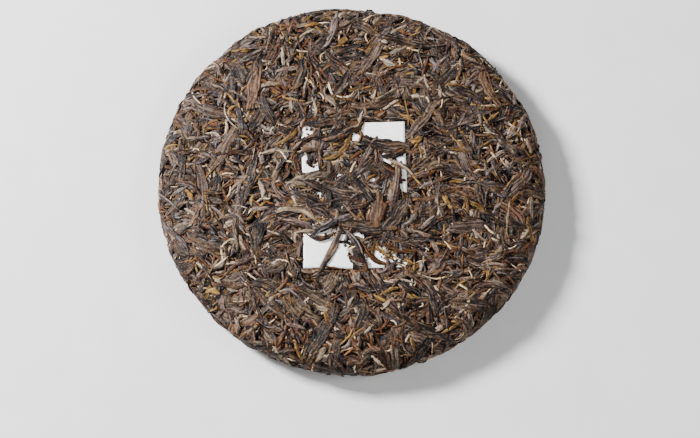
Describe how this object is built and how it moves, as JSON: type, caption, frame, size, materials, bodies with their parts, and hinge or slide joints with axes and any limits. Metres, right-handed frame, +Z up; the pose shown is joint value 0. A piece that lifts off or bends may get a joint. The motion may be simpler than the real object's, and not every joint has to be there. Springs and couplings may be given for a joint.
{
  "type": "pu erh tea cake",
  "caption": "Round cake of pressed dark tea leaves, lying face up, with a bare paper ticket pressed into its face under crossing leaves.",
  "frame": {"origin": "middle of the cake's box on the surface that the cake lies on", "axes": "+Z up out of the face with the ticket, +Y towards the ticket's upper edge, +X to the right of the ticket"},
  "size_m": [0.1958, 0.1946, 0.0264],
  "materials": {
    "pressed_tea": "dry, tightly pressed whole tea leaf: dark grey-brown with a faint sheen, with russet, olive-gold and silvery pieces",
    "ticket_paper": "thin uncoated white paper, bare of print"
  },
  "bodies": {
    "root": {"tea_cake": "pressed_tea", "paper_ticket": "ticket_paper"}
  },
  "joints": []
}
